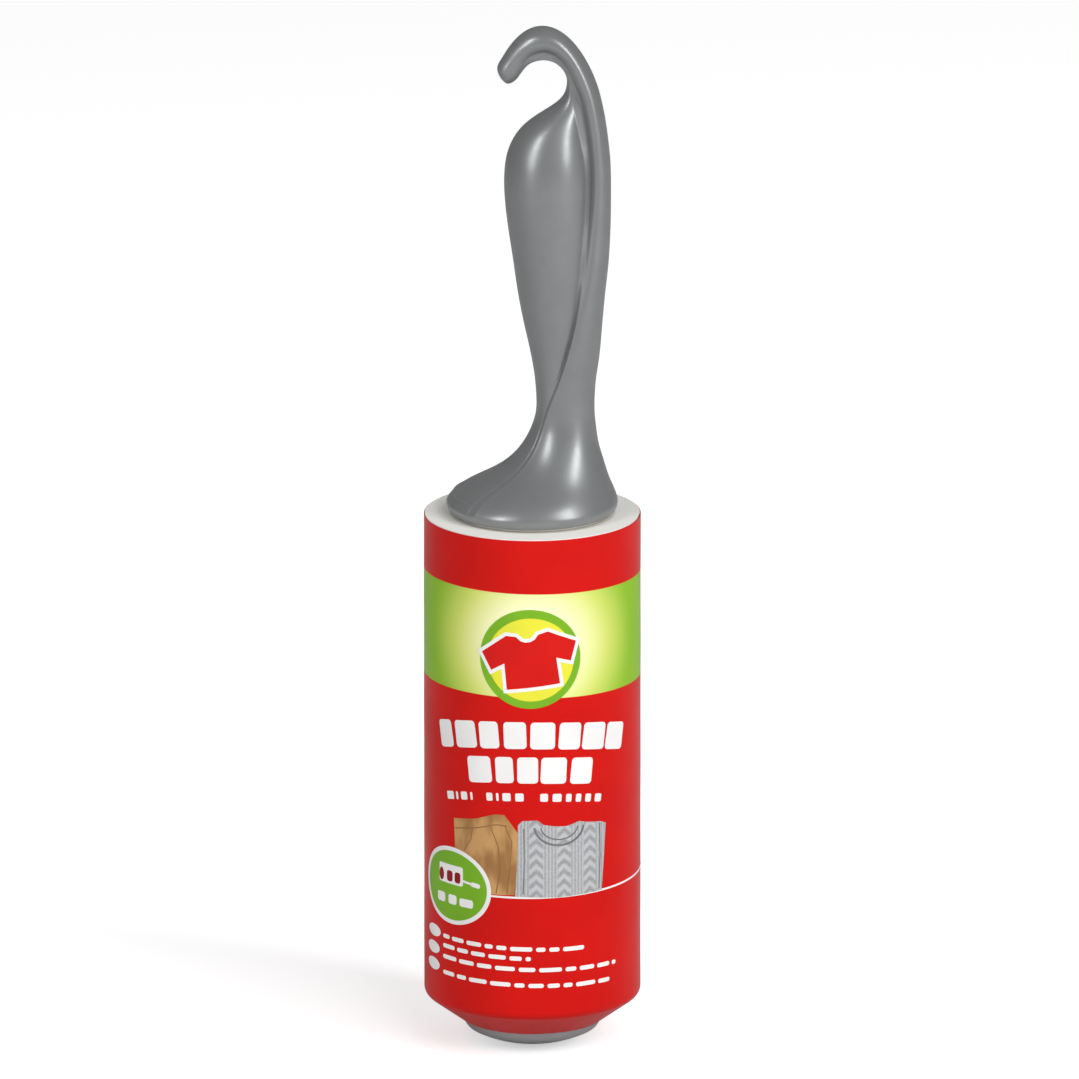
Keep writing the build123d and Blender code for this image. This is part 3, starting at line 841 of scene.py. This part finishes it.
@dataclass
class Sleeve:
    """The shrink sleeve: a thin printed tube drawn in over the roll's lower end."""

    radius: float = FILM_RADIUS
    film: float = 0.09
    top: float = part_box("printed_sleeve")[1].z / MM
    shoulder: float = 4.1
    shoulder_top: float = ROLL_BOTTOM - 1.05
    corner: float = 1.5
    rim_radius: float = 10.8
    pleats: int = 38
    pleat_depth: float = 0.12
    columns: int = 228
    finish: Finish = RED_FILM

    def rings(self) -> np.ndarray:
        """Rings down the wall and round the drawn-in shoulder, with its small pleats."""
        turns = np.linspace(0, 2 * math.pi, self.columns, endpoint=False)
        drawn_in = self.radius - self.rim_radius
        lean = math.atan2(drawn_in, self.shoulder)
        cut = self.corner * math.tan(lean / 2)
        wall = [(self.radius, z, 0.0) for z in np.linspace(self.top, self.shoulder_top + cut, 40)]
        bend = [(self.radius - self.corner * (1 - math.cos(a)),
                 self.shoulder_top + cut - self.corner * math.sin(a), 0.15 * a / lean)
                for a in np.linspace(0, lean, 9)[1:]]
        last_radius, last_height, _ = bend[-1]
        rim_height = self.shoulder_top - self.shoulder
        cone = [(last_radius + (self.rim_radius - last_radius) * t,
                 last_height + (rim_height - last_height) * t, 0.15 + 0.85 * t)
                for t in np.linspace(0, 1, 17)[1:]]
        rings = []
        seed = np.random.default_rng(7)
        weights = seed.uniform(0.35, 1.0, self.pleats)
        offsets = seed.uniform(-0.25, 0.25, self.pleats)
        for radius, z, drawn in wall + bend + cone:
            phase = turns / (2 * math.pi) * self.pleats
            which = phase.astype(int) % self.pleats
            ridge = np.cos(2 * math.pi * (phase - which - offsets[which])) * 0.5 - 0.5
            depth = self.pleat_depth * weights[which] * drawn ** 2
            wave = 0.012 * np.sin(3 * turns + z * 0.35) - 0.012
            r = radius + ridge * depth + wave * (1 - drawn)
            rings.append(np.column_stack([r * np.sin(turns), -r * np.cos(turns),
                                          np.full_like(r, z)]))
        return np.array(rings)

    def build(self) -> None:
        """Builds, dresses and hands over the sleeve."""
        piece = skin("sleeve_film", self.rings(), (False, False))
        apply_modifier(piece, "SOLIDIFY", thickness=self.film * MM, offset=-1)
        hand_over(piece, self.finish, Body.SLEEVE, ("printed_sleeve",))


class Layer(Enum):
    """Print layers by how high they lie on the film."""

    GROUND = 1
    PICTURE = 2
    DETAIL = 3


@dataclass
class PrintLayer:
    """One colour of the print: flat outlines that are cut into strips and laid on the film."""

    name: str
    finish: Finish
    layer: Layer
    outlines: list[list[Place]] = field(default_factory=list)
    base: float = FILM_RADIUS
    lift: float = 0.02
    strip: float = 0.8

    def block(self, u: float, v: float, width: float, height: float, corner: float = 0.3,
              lean: float = 0.0) -> None:
        """Adds a rounded block.

        Args:
            u: its middle across the film.
            v: its middle above the roll's end.
            width: its width.
            height: its height.
            corner: radius of its corners.
            lean: degrees that it is turned by.
        """
        corner = min(corner, width / 2.01, height / 2.01)
        points = []
        for quarter, (sx, sy) in enumerate(((1, 1), (-1, 1), (-1, -1), (1, -1))):
            for a in np.radians(np.linspace(90 * quarter, 90 * quarter + 90, 4)):
                points.append((sx * (width / 2 - corner) + corner * math.cos(a),
                               sy * (height / 2 - corner) + corner * math.sin(a)))
        c, s = math.cos(math.radians(lean)), math.sin(math.radians(lean))
        self.outlines.append([(u + x * c - y * s, v + x * s + y * c) for x, y in points])

    def oval(self, u: float, v: float, half_width: float, half_height: float,
             points: int) -> None:
        """Adds a filled ellipse."""
        self.outlines.append([(u + half_width * math.cos(a), v + half_height * math.sin(a))
                              for a in np.linspace(0, 2 * math.pi, points, endpoint=False)])

    def stroke(self, path: list[Place], width: float) -> None:
        """Adds a line of even width.

        Args:
            path: its middle line.
            width: its width.
        """
        line = np.array(path)
        way = np.gradient(line, axis=0)
        side = np.column_stack([-way[:, 1], way[:, 0]]) / np.linalg.norm(way, axis=1)[:, None]
        upper, lower = line + side * width / 2, line - side * width / 2
        self.outlines.append([tuple(p) for p in np.vstack([lower, upper[::-1]])])

    def ringed(self, points: list[Place], by: float) -> None:
        """Adds a filled outline grown outwards by an even margin.

        Args:
            points: the outline, anticlockwise.
            by: the margin.
        """
        line = np.array(points)
        before, after = line - np.roll(line, 1, axis=0), np.roll(line, -1, axis=0) - line
        sides = [np.column_stack([way[:, 1], -way[:, 0]]) / np.linalg.norm(way, axis=1)[:, None]
                 for way in (before, after)]
        middle = sides[0] + sides[1]
        reach = 2 * by / np.maximum((middle ** 2).sum(axis=1), 0.9)
        self.outlines.append([tuple(p) for p in line + middle * reach[:, None]])

    def flat(self) -> Piece:
        """Makes all outlines as flat faces in one mesh, x across and z up."""
        made = []
        for points in self.outlines:
            deselect()
            bpy.ops.mesh.primitive_circle_add(vertices=len(points), fill_type="NGON")
            places = np.array([(u, 0, v) for u, v in points])
            move_points(bpy.context.object, lambda _: places)
            made.append(bpy.context.object)
        deselect()
        for shape in made:
            shape.select_set(True)
        bpy.context.view_layer.objects.active = made[0]
        if len(made) > 1:
            bpy.ops.object.join()
        made[0].name = self.name
        return made[0]

    def build(self) -> None:
        """Cuts the flat print into strips, lays it on the film and hands it over."""
        piece = self.flat()
        places = points_of(piece)
        low, high = places[:, 0].min(), places[:, 0].max()
        with editing(piece):
            for u in np.arange(low + self.strip / 2, high, self.strip):
                bpy.ops.mesh.select_all(action="SELECT")
                bpy.ops.mesh.bisect(plane_co=(u, 0, 0), plane_no=(1, 0, 0))
        uv = piece.data.uv_layers.new(name=FLAT_MAP)
        flat = points_of(piece)
        for loop in piece.data.loops:
            x, _, z = flat[loop.vertex_index]
            uv.data[loop.index].uv = (x / PRINT_UNIT, z / PRINT_UNIT)
        radius = self.base + self.lift * self.layer.value

        def lay(points: np.ndarray) -> np.ndarray:
            """Rolls the flat print round the film."""
            turn = points[:, 0] / SLEEVE_RADIUS
            return np.column_stack([radius * np.sin(turn), -radius * np.cos(turn),
                                    points[:, 2] + ROLL_TOP]) * MM

        move_points(piece, lay)
        with editing(piece):
            bpy.ops.mesh.normals_make_consistent(inside=False)
        faces = piece.data.polygons
        if sum(f.normal.dot(Vector((f.center.x, f.center.y, 0))) for f in faces) < 0:
            piece.data.flip_normals()
        apply_modifier(piece, "SOLIDIFY", thickness=0.7 * self.lift * MM, offset=-1)
        hand_over(piece, self.finish, Body.SLEEVE)


@dataclass
class Print:
    """The print on the sleeve: emblem, heading blocks, garments, badge and small rows."""

    tilt: float = -0.0122
    arch: float = 1.8
    arch_at: float = 16.5

    def arched(self, u: float, v: float) -> float:
        """Height of a heading's place, on its gentle arch."""
        return v - self.arch * (u / self.arch_at) ** 2 + self.tilt * u

    def heading(self, white: PrintLayer, v: float, height: float, spans: list[Place]) -> None:
        """Adds a row of blocks that stands for a heading.

        Args:
            white: the layer to add to.
            v: middle of the row above the roll's end, at the film's middle.
            height: height of the blocks.
            spans: left and right end of each block.
        """
        for left, right in spans:
            u = (left + right) / 2
            lean = math.degrees(math.atan(-2 * self.arch * u / self.arch_at ** 2))
            white.block(u, self.arched(u, v), right - left, height, 0.55 * min(1, height / 3), lean)

    def emblem(self) -> list[PrintLayer]:
        """A generic shirt on a green disc."""
        u, v = -0.35, -18.6
        rim = PrintLayer("print_disc_rim", LEAF_INK, Layer.GROUND)
        rim.oval(u, v, 7.9, 7.75, 96)
        inner = PrintLayer("print_disc", LIME_INK, Layer.PICTURE)
        inner.oval(u + 0.1, v - 0.1, 6.7, 6.5, 96)
        shirt = [(-1.7, 3.7), (-3.2, 4.0), (-7.4, 1.7), (-6.2, -1.2), (-4.0, -0.3), (-4.1, -4.4),
                 (4.1, -4.4), (4.0, -0.3), (6.2, -1.2), (7.4, 1.7), (3.2, 4.0), (1.7, 3.7),
                 (1.1, 3.0), (0.4, 2.7), (-0.4, 2.7), (-1.1, 3.0)]
        lean = math.radians(7)
        turned = [(x * math.cos(lean) - y * math.sin(lean), x * math.sin(lean) + y * math.cos(lean))
                  for x, y in shirt]
        white = PrintLayer("print_shirt_edge", WHITE_INK, Layer.DETAIL)
        white.ringed([(u + x, v + y) for x, y in turned], 0.55)
        red = PrintLayer("print_shirt", RED_INK, Layer.DETAIL, lift=0.0235)
        red.outlines.append([(u + x, v + y) for x, y in turned])
        return [rim, inner, white, red]

    def garments(self) -> list[PrintLayer]:
        """Folded trousers and a knitted jumper."""
        tan = PrintLayer("print_trousers", TAN_INK, Layer.GROUND)
        tan.outlines.append([
            (-13.3, -44.9), (-9.2, -44.3), (-5.8, -43.2), (-4.3, -43.2), (-3.2, -44.6),
            (-1.9, -46.4), (-1.7, -47.2), (-2.2, -50.0), (-2.7, -55.7), (-9.0, -55.9),
            (-12.9, -52.0)])
        wool = PrintLayer("print_jumper", WOOL_INK, Layer.PICTURE)
        wool.outlines.append([
            (-2.2, -44.7), (-1.5, -44.0), (0.8, -43.9), (1.7, -44.6), (3.4, -44.9), (5.2, -45.0),
            (6.4, -44.7), (7.3, -44.4), (9.2, -44.8), (11.2, -45.0), (12.2, -45.4),
            (12.1, -47.0), (11.9, -50.0), (11.4, -55.8), (4.0, -56.1), (-2.6, -55.9),
            (-2.3, -50.0)])
        collar = PrintLayer("print_jumper_collar", COLLAR_INK, Layer.DETAIL)
        sweep = np.radians(np.linspace(185, 355, 25))
        for v, half_width, drop, width in ((-44.8, 3.9, 3.1, 0.32), (-44.9, 2.9, 2.1, 0.2)):
            neck = [(4.2 + half_width * math.cos(a), v + drop * math.sin(a)) for a in sweep]
            collar.stroke(neck, width)
        for u in (-1.3, 11.0):
            collar.stroke([(u, -45.2), (u + 0.1, -50.0), (u - 0.1, -55.5)], 0.16)
        seams = PrintLayer("print_trouser_seams", SEAM_INK, Layer.PICTURE)
        for width, *path in ((0.16, (-13.0, -46.4), (-9.0, -45.7), (-5.6, -44.8), (-3.9, -44.9)),
                             (0.14, (-9.6, -45.8), (-9.9, -47.6), (-11.2, -49.6)),
                             (0.14, (-6.5, -45.2), (-5.2, -48.4), (-5.0, -52.0), (-5.6, -55.6)),
                             (0.12, (-4.2, -44.9), (-3.1, -47.4), (-3.4, -51.0), (-3.9, -55.6))):
            seams.stroke(path, width)
        return [tan, seams, wool, collar]

    def badge(self) -> list[PrintLayer]:
        """Round badge with a small picture of a roller and three blocks."""
        u, v = -13.7, -55.6
        edge = PrintLayer("print_badge_edge", WHITE_INK, Layer.PICTURE, lift=0.023)
        edge.oval(u, v, 7.3, 6.05, 96)
        disc = PrintLayer("print_badge", LEAF_INK, Layer.DETAIL, lift=0.0185)
        disc.oval(u, v, 6.6, 5.4, 96)
        picture = PrintLayer("print_badge_picture", WHITE_INK, Layer.DETAIL, lift=0.0225)
        for x, y, *size in ((-0.4, 1.7, 5.4, 3.0, 0.35), (3.1, 1.0, 2.0, 0.35, 0.15, -8),
                            (4.6, 0.8, 1.7, 0.7, 0.33, -8), (-2.6, -2.2, 2.0, 1.5, 0.4),
                            (0.1, -2.2, 1.8, 1.5, 0.4), (2.9, -2.3, 2.6, 1.3, 0.4)):
            picture.block(u + x, v + y, *size)
        dark = PrintLayer("print_badge_dark", DARK_RED_INK, Layer.DETAIL, lift=0.0243)
        dark.oval(u - 2.5, v + 1.4, 0.6, 1.0, 24)
        dark.block(u - 0.5, v + 1.4, 1.3, 1.7, 0.4)
        dark.block(u + 1.2, v + 1.4, 1.2, 1.7, 0.4)
        return [edge, disc, picture, dark]

    def words(self) -> PrintLayer:
        """Heading blocks, small rows, ovals and the thin line, all in white."""
        white = PrintLayer("print_rows", WHITE_INK, Layer.GROUND)
        self.heading(white, -30.6, 4.2, [(-16.6, -13.6), (-12.9, -9.0), (-8.4, -5.2), (-4.4, -0.9),
                                         (-0.3, 3.5), (4.1, 7.6), (8.0, 12.0), (12.3, 16.1)])
        self.heading(white, -36.05, 4.1, [(-10.4, -6.4), (-5.7, -2.9), (-2.3, 0.9), (1.3, 5.3),
                                          (6.0, 9.6)])
        small = [(-14.8, -13.3), (-12.8, -12.4), (-11.8, -10.6), (-10.0, -9.6), (-7.2, -6.2),
                 (-5.6, -5.2), (-4.6, -3.3), (-2.6, -1.3), (1.2, 2.4), (3.1, 4.5), (5.2, 6.1),
                 (6.8, 7.7), (8.4, 9.4), (10.1, 11.3)]
        self.heading(white, -40.3, 1.25, small)
        rng = np.random.default_rng(11)
        for v, right in ((-63.9, 9.0), (-65.4, -0.2), (-67.1, 14.4), (-69.6, 13.5)):
            left = -15.9
            while left < right - 0.7:
                width = min(rng.uniform(1.3, 3.6), right - left)
                middle = left + width / 2
                white.block(middle, v + self.tilt * 1.6 * (middle + 16), width, 0.66, 0.3)
                left += width + 0.55
        for u, v in ((-18.6, -63.7), (-18.9, -66.4), (-18.9, -69.0)):
            white.oval(u, v, 2.0, 0.95, 32)
        across = np.linspace(-6.8, 30.0, 60)
        white.stroke([(u, -56.1 + 0.0008 * max(u + 6.8, 0) ** 2) for u in across], 0.3)
        return white

    def build(self) -> None:
        """Builds every layer of the print."""
        for layer in [self.words(), *self.emblem(), *self.garments(), *self.badge()]:
            layer.build()


# ---- carried-over pieces ----


@dataclass
class CarriedParts:
    """CAD nodes whose own shape shows, with the finish that each gets."""

    finishes: tuple[tuple[Finish, tuple[str, ...]], ...] = (
        (PEARL_GREY, ("collar_disc",)),
        (AXLE_STEEL, ("axle",)),
        (ACETAL, ("upper_thrust_washer", "lower_thrust_washer")),
        (CLIP_STEEL, ("axle_clip",)),
        (CAGE_WHITE, ("cage_upper_hub", "cage_tube", "cage_lower_hub")),
        (CAP_GREY, ("end_cap",)),
        (CORE_BOARD, ("core_inner_ply", "core_middle_ply", "core_outer_ply")),
        (TAPE_PAPER, tuple(f"sheet_{number:02d}" for number in range(1, 31))),
    )

    def dress(self) -> None:
        """Gives every carried-over node its material."""
        for finish, nodes in self.finishes:
            for node in nodes:
                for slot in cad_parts[node].material_slots:
                    slot.material = finish.material()
            LOG.info("%s on %s", finish.name, ", ".join(nodes))


# ---- studio ----


@dataclass
class Studio:
    """Pale floor, soft light and the camera."""

    target: tuple[float, float, float] = (1.09, 0.0, ROLL_TOP - 4.34)
    elevation: float = 15.4
    distance: float = 5500.0
    frame_width: float = 163.3
    sensor: float = 36.0
    floor_size: float = 12.0
    floor_seen: float = 0.9
    floor_glow: float = 0.5
    floor_bounce: float = 0.65
    ambient: float = 0.25

    def camera(self) -> None:
        """Adds the camera at its viewing angle."""
        data = bpy.data.cameras.new("camera")
        data.sensor_width = self.sensor
        data.lens = self.sensor * self.distance / self.frame_width
        data.clip_end = 100
        seat = bpy.data.objects.new("camera", data)
        bpy.context.scene.collection.objects.link(seat)
        tilt = math.radians(self.elevation)
        target = Vector(self.target) * MM
        seat.location = target + Vector((0, -math.cos(tilt), math.sin(tilt))) * self.distance * MM
        seat.rotation_euler = (math.pi / 2 - tilt, 0, 0)
        bpy.context.scene.camera = seat

    def floor(self) -> None:
        """Lays a pale floor that bounces less light than it shows."""
        deselect()
        bpy.ops.mesh.primitive_plane_add(size=self.floor_size, location=(0, 0, 0))
        floor = bpy.context.object
        floor.name = "floor"
        paint = bpy.data.materials.new("floor_paper")
        paint.use_nodes = True
        bench = NodeBench(paint.node_tree)
        shader = paint.node_tree.nodes["Principled BSDF"]
        seen = bench.add("LightPath").outputs["Is Camera Ray"]
        paper = bench.blend(seen, (self.floor_bounce,) * 3, (self.floor_seen,) * 3)
        glow = bench.times(seen, self.floor_glow)
        bench.fill(shader, Base_Color=paper, Roughness=0.9, Specular_IOR_Level=0.0,
                   Emission_Color=(1, 1, 1, 1), Emission_Strength=glow)
        floor.data.materials.append(paint)
        floor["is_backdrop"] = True

    def light(self, name: str, azimuth: float, elevation: float, reach: float, size: Place,
              power: float, mirrored: bool = True) -> None:
        """Hangs a soft box that faces the object.

        Args:
            name: name of the light.
            azimuth: degrees to the right of the camera.
            elevation: degrees above the floor.
            reach: distance from the object, in metres.
            size: width and height, in metres.
            power: power in watts.
            mirrored: whether glossy surfaces show it.
        """
        data = bpy.data.lights.new(name, "AREA")
        data.shape = "RECTANGLE"
        data.size, data.size_y = size
        data.energy = power
        lamp = bpy.data.objects.new(name, data)
        lamp.visible_glossy = mirrored
        bpy.context.scene.collection.objects.link(lamp)
        a, e = math.radians(azimuth), math.radians(elevation)
        way = Vector((math.sin(a) * math.cos(e), -math.cos(a) * math.cos(e), math.sin(e)))
        aim = Vector((0, 0, 0.09))
        lamp.location = aim + way * reach
        lamp.rotation_euler = way.to_track_quat("Z", "Y").to_euler()

    def world(self) -> None:
        """Sets an even pale surround."""
        world = bpy.data.worlds.new("studio")
        world.use_nodes = True
        bpy.context.scene.world = world
        bench = NodeBench(world.node_tree)
        ground = world.node_tree.nodes["Background"]
        seen = bench.add("LightPath").outputs["Is Camera Ray"]
        bench.feed(ground.inputs["Color"], bench.blend(seen, (self.ambient,) * 3, (1, 1, 1)))

    def build(self) -> None:
        """Sets up the whole studio."""
        self.camera()
        self.floor()
        self.world()
        self.light("key", 30, 34, 1.6, (1.1, 1.1), 13, mirrored=False)
        self.light("left_strip", -46, 26, 1.3, (0.26, 0.9), 6)
        self.light("right_strip", 52, 28, 1.3, (0.26, 0.9), 7.5)
        bpy.context.scene.view_settings.view_transform = "Standard"


def main() -> None:
    """Builds the studio and every piece, in order."""
    logging.basicConfig(level=logging.INFO, format="%(name)s: %(message)s")
    Studio().build()
    Handle().build()
    Sleeve().build()
    Print().build()
    CarriedParts().dress()
    boxes = {"cad": [list(corner) for corner in CAD_BOX], "visual": [list(corner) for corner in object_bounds()]}
    for name, box in boxes.items():
        LOG.info("%s box in millimetres: %s", name, np.round(np.array(box) / MM, 3).tolist())


if __name__ == "__main__":
    main()
